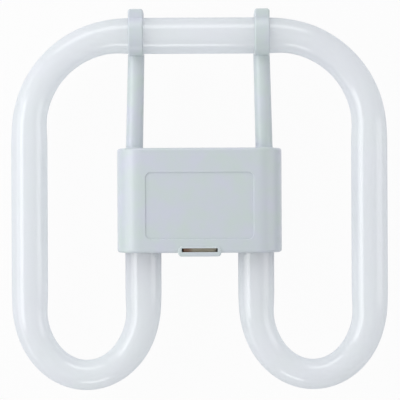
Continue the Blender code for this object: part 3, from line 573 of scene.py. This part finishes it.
def rear_outline(z, inset):
    """The back moulding's outline at a height; it widens a little from the seat to the seam."""
    drawn_in = REAR_DRAFT * (1 - z / REAR_TOP_Z) + inset
    half_v = (HOUSING_TOP_Y - HOUSING_FOOT_Y) / 2 - drawn_in
    return rounded_rectangle(HOUSING_CENTRE_Y, HOUSING_HALF_WIDTH - drawn_in, half_v, EDGE_RADIUS)


def draw_tray():
    """The open tray, with a rounded edge at the seat and a small one at the seam."""
    rings = []
    for turn in quarter_turn(EDGE_STEPS):
        z = EDGE_RADIUS * (1 - math.cos(turn))
        inset = EDGE_RADIUS * (1 - math.sin(turn)) / 2
        rings.append([along_z(u, v, z) for u, v in rear_outline(z, inset)])
    small = SEAM_EDGE_RADIUS
    for turn in quarter_turn(SEAM_EDGE_STEPS):
        z = REAR_TOP_Z - small + small * math.sin(turn)
        rings.append([along_z(u, v, z) for u, v in rear_outline(z, small * (1 - math.cos(turn)))])
    tray = loft("back_moulding", rings)
    half_x = HOUSING_HALF_WIDTH - REAR_DRAFT - WALL
    foot = HOUSING_FOOT_Y + REAR_DRAFT + WALL
    top = HOUSING_TOP_Y - REAR_DRAFT - WALL
    cut(tray, block("tray hollow", (-half_x, foot, WALL), (half_x, top, REAR_TOP_Z + OVERCUT)))
    return tray


def sink_well(tray):
    """The well for the lampholder's nose, with its walls inside the tray and the key on one side."""
    walls = rounded_rectangle(
        HOUSING_CENTRE_Y, WELL_HALF_WIDTH + WALL, WELL_HALF_HEIGHT + WALL, WELL_CORNER_RADIUS + WALL
    )
    join(tray, prism("well walls", walls, along_z, WALL / 2, WELL_DEPTH + WALL))
    radius = WELL_EDGE_RADIUS
    turns = quarter_turn(WELL_EDGE_STEPS)
    rings = [(radius, -OVERCUT)]
    rings += [(radius * (1 - math.sin(t)), radius * (1 - math.cos(t))) for t in turns]
    rings += [(-radius * (1 - math.cos(t)), WELL_DEPTH - radius + radius * math.sin(t)) for t in turns]
    sink(tray, "well", rings, HOUSING_CENTRE_Y, WELL_HALF_WIDTH, WELL_HALF_HEIGHT, WELL_CORNER_RADIUS)
    key_y = HOUSING_CENTRE_Y + WELL_HALF_HEIGHT
    key_low = (-KEY_WIDTH / 2, key_y - KEY_DEPTH, WALL / 2)
    key_high = (KEY_WIDTH / 2, key_y + WALL / 2, WELL_DEPTH + WALL / 2)
    join(tray, block("key", key_low, key_high, KEY_EDGE_RADIUS))


def fit_tray_side(tray, side):
    """What one side of the tray has: the tongue under the leg, its bore, the pin's hole and the catch."""
    leg_x = side * INNER_LEG_X
    half = BORE_RADIUS - CLEARANCE
    tongue_low = (leg_x - half, HOUSING_FOOT_Y, SEAM_Z - WALL)
    join(tray, block("tongue", tongue_low, (leg_x + half, HOUSING_FOOT_Y + WALL, TONGUE_TOP_Z)))
    leg_profile = [(BORE_RADIUS, HOUSING_FOOT_Y - OVERCUT), (BORE_RADIUS, LEG_END_Y)]
    cut(tray, turned("leg bore", leg_profile, (leg_x, 0, AXIS_Z), (0, 1, 0), sides=96))
    hole = PIN_RADIUS + CLEARANCE
    hole_profile = [(hole, WELL_DEPTH - OVERCUT), (hole, WELL_DEPTH + WALL + OVERCUT)]
    cut(tray, turned("pin hole", hole_profile, (side * PIN_X, HOUSING_CENTRE_Y, 0), (0, 0, 1)))
    near, far = sorted(side * (WELL_HALF_WIDTH + reach) for reach in (-CATCH_DEPTH, CATCH_DEPTH))
    catch_low = (near, HOUSING_CENTRE_Y - CATCH_WIDTH / 2, CATCH_ABOVE_SEAT)
    catch_high = (far, HOUSING_CENTRE_Y + CATCH_WIDTH / 2, CATCH_ABOVE_SEAT + CATCH_HEIGHT)
    cut(tray, block("catch", catch_low, catch_high))


def mould_rear(finish):
    """The back moulding: the tray that closes the housing, with the well for the lampholder."""
    tray = draw_tray()
    sink_well(tray)
    for side in (-1, 1):
        fit_tray_side(tray, side)
    flatten_shading(tray)
    seat_piece(tray, "rear_shell", finish)


# Contacts, starter and capacitor

def turn_contact_pin(name, side, finish):
    """A turned pin with a round tip; its collar and barrel are inside the housing."""
    tip = dome(PIN_RADIUS, PIN_TIP_LENGTH, EDGE_STEPS, flat=0.08)
    profile = [(radius, PIN_LOW.z + above_tip) for radius, above_tip in tip]
    collar_z = WELL_DEPTH + WALL + CLEARANCE
    profile += [
        (PIN_RADIUS, collar_z),
        (PIN_COLLAR_RADIUS, collar_z),
        (PIN_COLLAR_RADIUS, collar_z + PIN_COLLAR_THICKNESS),
        (PIN_BARREL_RADIUS, collar_z + PIN_COLLAR_THICKNESS),
        (PIN_BARREL_RADIUS, PIN_HIGH.z),
    ]
    pin = turned(f"turned_{name}", profile, (side * PIN_X, HOUSING_CENTRE_Y, 0), (0, 0, 1))
    seat_piece(pin, name, finish)


def blow_starter_bottle(finish):
    """The glow starter's little glass bottle, round at its foot and narrower at its top."""
    radius = (STARTER_HIGH.z - STARTER_LOW.z) / 2
    foot = dome(radius, radius, BOTTLE_STEPS, flat=0.06)
    profile = [(width, STARTER_LOW.y + above_foot) for width, above_foot in foot]
    for turn in quarter_turn(BOTTLE_STEPS):
        narrowing = 1 - BOTTLE_NARROWING * (1 - math.cos(turn))
        y = STARTER_HIGH.y - BOTTLE_SHOULDER * radius * (1 - math.sin(turn))
        profile.append((radius * narrowing, y))
    centre_z = (STARTER_HIGH.z + STARTER_LOW.z) / 2
    bottle = turned("glow_starter_bottle", profile, (0, 0, centre_z), (0, 1, 0))
    seat_piece(bottle, "starter_bottle", finish)


def dip_capacitor(finish):
    """The capacitor's dipped body, with soft corners."""
    body = block("dipped_capacitor", CAPACITOR_LOW, CAPACITOR_HIGH, CAPACITOR_EDGE_RADIUS, segments=6)
    body.data.shade_smooth()
    seat_piece(body, "capacitor", finish)


# Finishes

def linear(hex_colour):
    """An sRGB hex value as linear red, green, blue and alpha."""
    values = [int(hex_colour[i:i + 2], 16) / 255 for i in (1, 3, 5)]
    return (*[v / 12.92 if v <= 0.04045 else ((v + 0.055) / 1.055) ** 2.4 for v in values], 1.0)


def add_node(tree, kind, sockets=None, **settings):
    """Adds a node; each socket gets a value, or a link from a socket or from a node's first output."""
    made = tree.nodes.new(kind)
    for name, value in settings.items():
        setattr(made, name, value)
    for name, value in (sockets or {}).items():
        if isinstance(value, bpy.types.Node):
            value = value.outputs[0]
        if isinstance(value, bpy.types.NodeSocket):
            tree.links.new(value, made.inputs[name])
        else:
            made.inputs[name].default_value = value
    return made


def new_finish(name):
    """An empty material: its tree, and where on the object a point is, in metres."""
    material = bpy.data.materials.new(name)
    material.use_nodes = True
    tree = material.node_tree
    tree.nodes.clear()
    place = add_node(tree, "ShaderNodeTexCoord").outputs["Object"]
    return material, tree, place


def phosphor_coated_glass():
    """Soda-lime glass tube, drawn and bent, with white phosphor powder dried on its inside.

    The smooth glass gives clear highlights, which fade to the tube's edges, over a soft milky white
    that is faintly lavender. The wall is thin and the tube is hollow, so half of the light goes
    through the powder, spreads inside and comes out again, and the side in shade stays pale. Only
    the other half carries the gloss, so its index is above that of glass.
    """
    material, tree, place = new_finish("phosphor_coated_glass")
    coating = add_node(tree, "ShaderNodeTexNoise", {"Vector": place, "Scale": 1 / (14 * MM), "Detail": 3.0})
    white = add_node(tree, "ShaderNodeValToRGB", {"Fac": coating})
    white.color_ramp.elements[0].position = 0.35
    white.color_ramp.elements[0].color = linear("#E4E9EB")
    white.color_ramp.elements[1].position = 0.65
    white.color_ramp.elements[1].color = linear("#E6E8EE")
    waves = add_node(tree, "ShaderNodeTexNoise", {"Vector": place, "Scale": 1 / (11 * MM), "Detail": 1.0})
    bump = add_node(tree, "ShaderNodeBump", {"Height": waves, "Strength": 0.12, "Distance": 0.3 * MM})
    facing = add_node(tree, "ShaderNodeLayerWeight", {"Blend": 0.5}).outputs["Facing"]
    gloss = add_node(
        tree,
        "ShaderNodeMapRange",
        {"Value": facing, "From Min": 0.34, "From Max": 0.7, "To Min": 1.0, "To Max": 0.0},
    )
    sockets = {
        "Base Color": white,
        "Roughness": 0.8,
        "Specular IOR Level": 0.0,
        "Coat Weight": gloss,
        "Coat Roughness": 0.14,
        "Coat IOR": 1.9,
        "Coat Normal": bump,
    }
    outside = add_node(tree, "ShaderNodeBsdfPrincipled", sockets)
    through = add_node(tree, "ShaderNodeBsdfTranslucent", {"Color": linear("#F2F4F6")})
    surface = add_node(tree, "ShaderNodeMixShader", {0: 0.5, 1: outside, 2: through})
    add_node(tree, "ShaderNodeOutputMaterial", {"Surface": surface})
    return material


def moulded_housing_plastic():
    """Polyester moulding compound, injection moulded in a finely spark-eroded mould.

    The eroded mould leaves a fine even grain that softens the gloss, and the flow of the melt
    leaves faint clouds in the pale grey. The grain is drawn at 0.3 mm, coarser than the real one,
    so that it shows.
    """
    material, tree, place = new_finish("moulded_housing_plastic")
    clouds = add_node(tree, "ShaderNodeTexNoise", {"Vector": place, "Scale": 1 / (9 * MM), "Detail": 4.0})
    grey = add_node(tree, "ShaderNodeValToRGB", {"Fac": clouds})
    grey.color_ramp.elements[0].position = 0.36
    grey.color_ramp.elements[0].color = linear("#C7D2D2")
    grey.color_ramp.elements[1].position = 0.64
    grey.color_ramp.elements[1].color = linear("#CACFDA")
    pits = {"Vector": place, "Scale": 1 / (0.3 * MM), "Roughness": 0.6}
    grain = add_node(tree, "ShaderNodeTexNoise", pits)
    bump = add_node(tree, "ShaderNodeBump", {"Height": grain, "Strength": 0.12, "Distance": 0.03 * MM})
    patches = add_node(tree, "ShaderNodeTexNoise", {"Vector": place, "Scale": 1 / (4 * MM)})
    gloss = add_node(tree, "ShaderNodeMapRange", {"Value": patches, "To Min": 0.27, "To Max": 0.35})
    sockets = {
        "Base Color": grey,
        "Roughness": gloss,
        "IOR": 1.5,
        "Subsurface Weight": 0.15,
        "Subsurface Radius": (1.0, 1.0, 1.0),
        "Subsurface Scale": 1.0 * MM,
        "Normal": bump,
    }
    surface = add_node(tree, "ShaderNodeBsdfPrincipled", sockets)
    add_node(tree, "ShaderNodeOutputMaterial", {"Surface": surface})
    return material


def nickel_plated_brass():
    """Turned brass under a thin nickel plating: a satin silver, slightly warm where the nickel is thin.

    The tool's marks are drawn at 0.12 mm, coarser than the real ones, so that they show.
    """
    material, tree, place = new_finish("nickel_plated_brass")
    stains = add_node(tree, "ShaderNodeTexNoise", {"Vector": place, "Scale": 1 / (1.5 * MM), "Detail": 3.0})
    nickel = add_node(tree, "ShaderNodeValToRGB", {"Fac": stains})
    nickel.color_ramp.elements[0].color = linear("#BDB6A6")
    nickel.color_ramp.elements[1].color = linear("#D2CCBF")
    marks = add_node(tree, "ShaderNodeTexNoise", {"Vector": place, "Scale": 1 / (0.12 * MM)})
    bump = add_node(tree, "ShaderNodeBump", {"Height": marks, "Strength": 0.15, "Distance": 0.01 * MM})
    sockets = {"Base Color": nickel, "Metallic": 1.0, "Roughness": 0.28, "Normal": bump}
    surface = add_node(tree, "ShaderNodeBsdfPrincipled", sockets)
    add_node(tree, "ShaderNodeOutputMaterial", {"Surface": surface})
    return material


def tinned_copper_wire():
    """Copper wire drawn through a bath of tin: dull silver with a soft, uneven shine."""
    material, tree, place = new_finish("tinned_copper_wire")
    tin = add_node(tree, "ShaderNodeTexNoise", {"Vector": place, "Scale": 1 / (0.8 * MM), "Detail": 3.0})
    silver = add_node(tree, "ShaderNodeValToRGB", {"Fac": tin})
    silver.color_ramp.elements[0].color = linear("#9E9A92")
    silver.color_ramp.elements[1].color = linear("#C6C2BA")
    rough = add_node(tree, "ShaderNodeMapRange", {"Value": tin, "To Min": 0.3, "To Max": 0.5})
    sockets = {"Base Color": silver, "Metallic": 1.0, "Roughness": rough}
    surface = add_node(tree, "ShaderNodeBsdfPrincipled", sockets)
    add_node(tree, "ShaderNodeOutputMaterial", {"Surface": surface})
    return material


def silicone_bond():
    """White silicone, run round the leg wet: smooth and faintly see-through, with small lumps."""
    material, tree, place = new_finish("silicone_bond")
    lumps = add_node(tree, "ShaderNodeTexNoise", {"Vector": place, "Scale": 1 / (1.2 * MM), "Detail": 3.0})
    bump = add_node(tree, "ShaderNodeBump", {"Height": lumps, "Strength": 0.4, "Distance": 0.2 * MM})
    white = add_node(tree, "ShaderNodeValToRGB", {"Fac": lumps})
    white.color_ramp.elements[0].color = linear("#DFDED8")
    white.color_ramp.elements[1].color = linear("#ECEBE6")
    sockets = {
        "Base Color": white,
        "Roughness": 0.4,
        "Subsurface Weight": 0.3,
        "Subsurface Scale": 1.0 * MM,
        "Normal": bump,
    }
    surface = add_node(tree, "ShaderNodeBsdfPrincipled", sockets)
    add_node(tree, "ShaderNodeOutputMaterial", {"Surface": surface})
    return material


def silicone_sleeving():
    """Thin silicone rubber sleeving pushed over the bare wires: matt, milky white, a little wavy."""
    material, tree, place = new_finish("silicone_sleeving")
    waves = add_node(tree, "ShaderNodeTexNoise", {"Vector": place, "Scale": 1 / (1.5 * MM)})
    bump = add_node(tree, "ShaderNodeBump", {"Height": waves, "Strength": 0.3, "Distance": 0.1 * MM})
    haze = add_node(tree, "ShaderNodeTexNoise", {"Vector": place, "Scale": 1 / (3 * MM), "Detail": 3.0})
    cream = add_node(tree, "ShaderNodeValToRGB", {"Fac": haze})
    cream.color_ramp.elements[0].color = linear("#D8D6CC")
    cream.color_ramp.elements[1].color = linear("#E6E4DC")
    sockets = {
        "Base Color": cream,
        "Roughness": 0.55,
        "Subsurface Weight": 0.4,
        "Subsurface Scale": 0.5 * MM,
        "Normal": bump,
    }
    surface = add_node(tree, "ShaderNodeBsdfPrincipled", sockets)
    add_node(tree, "ShaderNodeOutputMaterial", {"Surface": surface})
    return material


def starter_bottle_glass():
    """Small blown glass bottle with a grey-green deposit inside: glossy, with the deposit's mottling."""
    material, tree, place = new_finish("starter_bottle_glass")
    deposit = add_node(tree, "ShaderNodeTexNoise", {"Vector": place, "Scale": 1 / (2.5 * MM), "Detail": 4.0})
    grey = add_node(tree, "ShaderNodeValToRGB", {"Fac": deposit})
    grey.color_ramp.elements[0].color = linear("#8D8A7C")
    grey.color_ramp.elements[1].color = linear("#A6A496")
    sockets = {
        "Base Color": grey,
        "Roughness": 0.35,
        "IOR": 1.5,
        "Coat Weight": 1.0,
        "Coat Roughness": 0.05,
    }
    surface = add_node(tree, "ShaderNodeBsdfPrincipled", sockets)
    add_node(tree, "ShaderNodeOutputMaterial", {"Surface": surface})
    return material


def dipped_epoxy_coating():
    """Tan epoxy that the capacitor was dipped in: a semi-gloss skin with a slight orange peel.

    Its left end is painted a darker brown as painted shade, where the window's left wall keeps it out of the
    light.
    """
    material, tree, place = new_finish("dipped_epoxy_coating")
    peel = add_node(tree, "ShaderNodeTexNoise", {"Vector": place, "Scale": 1 / (0.5 * MM)})
    bump = add_node(tree, "ShaderNodeBump", {"Height": peel, "Strength": 0.3, "Distance": 0.06 * MM})
    shade = add_node(tree, "ShaderNodeTexNoise", {"Vector": place, "Scale": 1 / (3 * MM), "Detail": 3.0})
    tan = add_node(tree, "ShaderNodeValToRGB", {"Fac": shade})
    tan.color_ramp.elements[0].color = linear("#ABA189")
    tan.color_ramp.elements[1].color = linear("#C2B9A6")
    # Painted shade: the colour turns a darker brown towards the left end, where the window's left wall
    # shades the capacitor.
    across = add_node(tree, "ShaderNodeSeparateXYZ", {"Vector": place}).outputs["X"]
    painted_shade_end = add_node(
        tree,
        "ShaderNodeMapRange",
        {"Value": across, "From Min": -4.6 * MM, "From Max": -2.2 * MM, "To Min": 1.0, "To Max": 0.0},
    )
    tones = {"Factor": painted_shade_end, 6: tan, 7: linear("#A2745A")}
    epoxy = add_node(tree, "ShaderNodeMix", tones, data_type="RGBA")
    sockets = {
        "Base Color": epoxy.outputs[2],
        "Roughness": 0.4,
        "Coat Weight": 0.5,
        "Coat Roughness": 0.15,
        "Normal": bump,
    }
    surface = add_node(tree, "ShaderNodeBsdfPrincipled", sockets)
    add_node(tree, "ShaderNodeOutputMaterial", {"Surface": surface})
    return material


def finish_cad_nodes(finishes):
    """The small pieces keep their CAD shape and get their own finish."""
    for name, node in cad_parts.items():
        for start, finish in finishes.items():
            if name.startswith(start):
                node.data.materials.clear()
                node.data.materials.append(finish)


# Studio

CAMERA_DISTANCE = 0.55
FRAME_WIDTH = 146.9 * MM
CAMERA_ROLL = 0.25
CAMERA_X = 0.18 * MM
SENSOR_WIDTH = 36.0
TABLE_HALF_WIDTH = 2.0
WORLD_LIGHT = 0.55
WHITE_SHARE = 0.95


def set_camera():
    """The photo looks straight at the lamp's front, from about half a metre."""
    camera = bpy.data.cameras.new("camera")
    camera.sensor_width = SENSOR_WIDTH
    camera.lens = SENSOR_WIDTH * CAMERA_DISTANCE / FRAME_WIDTH
    camera.clip_start = 0.01
    camera.clip_end = 20.0
    stand = bpy.data.objects.new("camera", camera)
    stand.location = (CAMERA_X, 0.0, AXIS_Z + CAMERA_DISTANCE)
    stand.rotation_euler = (0.0, 0.0, math.radians(-CAMERA_ROLL))
    bpy.context.scene.collection.objects.link(stand)
    bpy.context.scene.camera = stand


def add_panel(name, middle, width, height, radiance):
    """An upright soft window of the light tent, facing the lamp; its middle is above the tube's axis."""
    light = bpy.data.lights.new(name, "AREA")
    light.shape = "RECTANGLE"
    light.size = width
    light.size_y = height
    light.energy = radiance * math.pi * width * height
    panel = bpy.data.objects.new(name, light)
    panel.location = Vector(middle) + Vector((0, 0, AXIS_Z))
    panel.rotation_euler = Vector((-middle[0], -middle[1], 0)).to_track_quat("-Z", "Y").to_euler()
    panel.visible_camera = False
    bpy.context.scene.collection.objects.link(panel)


def light_studio():
    """A light tent with a window on each side, and one long low light behind the left window."""
    add_panel("left window", (-0.26, 0.0, 0.21), 0.22, 0.18, 3.15)
    add_panel("low light on the left", (-0.6, 0.0, 0.16), 1.0, 0.16, 1.7)
    add_panel("far window", (-0.04, 0.25, 0.145), 0.32, 0.13, 2.3)
    add_panel("near window", (-0.025, -0.243, 0.125), 0.09, 0.07, 3.8)
    add_panel("right window", (0.26, 0.0, 0.13), 0.12, 0.2, 1.5)
    world = bpy.data.worlds.new("studio")
    bpy.context.scene.world = world
    world.use_nodes = True
    tree = world.node_tree
    tree.nodes.clear()
    seen = rays_that_see_white(tree)
    strength = add_node(tree, "ShaderNodeMapRange", {"Value": seen, "To Min": WORLD_LIGHT, "To Max": 1.0})
    background = add_node(tree, "ShaderNodeBackground", {"Color": linear("#FFFFFF"), "Strength": strength})
    add_node(tree, "ShaderNodeOutputWorld", {"Surface": background})


def rays_that_see_white(tree):
    """1 for the camera's rays and for what gloss and glass show, 0 for the light on the lamp."""
    rays = add_node(tree, "ShaderNodeLightPath").outputs
    direct = {0: rays["Is Camera Ray"], 1: rays["Is Glossy Ray"]}
    seen = {0: add_node(tree, "ShaderNodeMath", direct, operation="MAXIMUM"), 1: rays["Is Transmission Ray"]}
    return add_node(tree, "ShaderNodeMath", seen, operation="MAXIMUM")


def white_table_top():
    """Matt laminate, so overlit that nearly all of it shows as plain white; the rest keeps the shadow."""
    material = bpy.data.materials.new("white_table_top")
    material.use_nodes = True
    tree = material.node_tree
    tree.nodes.clear()
    seen = {0: rays_that_see_white(tree), 1: WHITE_SHARE}
    share = add_node(tree, "ShaderNodeMath", seen, operation="MULTIPLY")
    matt = add_node(tree, "ShaderNodeBsdfDiffuse", {"Color": linear("#CCCCCC")})
    white = add_node(tree, "ShaderNodeEmission", {"Color": linear("#FFFFFF"), "Strength": 1.0})
    surface = add_node(tree, "ShaderNodeMixShader", {0: share, 1: matt, 2: white})
    add_node(tree, "ShaderNodeOutputMaterial", {"Surface": surface})
    return material


def lay_table_top():
    half = TABLE_HALF_WIDTH
    corners = [(-half, -half, 0), (half, -half, 0), (half, half, 0), (-half, half, 0)]
    mesh = bpy.data.meshes.new("table_top")
    mesh.from_pydata(corners, [], [(0, 1, 2, 3)])
    mesh.materials.append(white_table_top())
    add_piece("table_top", mesh)


def main():
    bpy.context.scene.view_settings.view_transform = "Standard"
    plastic = moulded_housing_plastic()
    plated = nickel_plated_brass()
    tinned = tinned_copper_wire()
    bend_glass_tube(phosphor_coated_glass())
    mould_front(plastic)
    mould_rear(plastic)
    turn_contact_pin("contact_pin_left", -1, plated)
    turn_contact_pin("contact_pin_right", 1, plated)
    blow_starter_bottle(starter_bottle_glass())
    dip_capacitor(dipped_epoxy_coating())
    finish_cad_nodes(
        {
            "bond_ring": silicone_bond(),
            "crimp": plated,
            "sleeve": silicone_sleeving(),
            "lead": tinned,
            "starter_leg": tinned,
            "capacitor_leg": tinned,
        }
    )
    lay_table_top()
    light_studio()
    set_camera()


main()
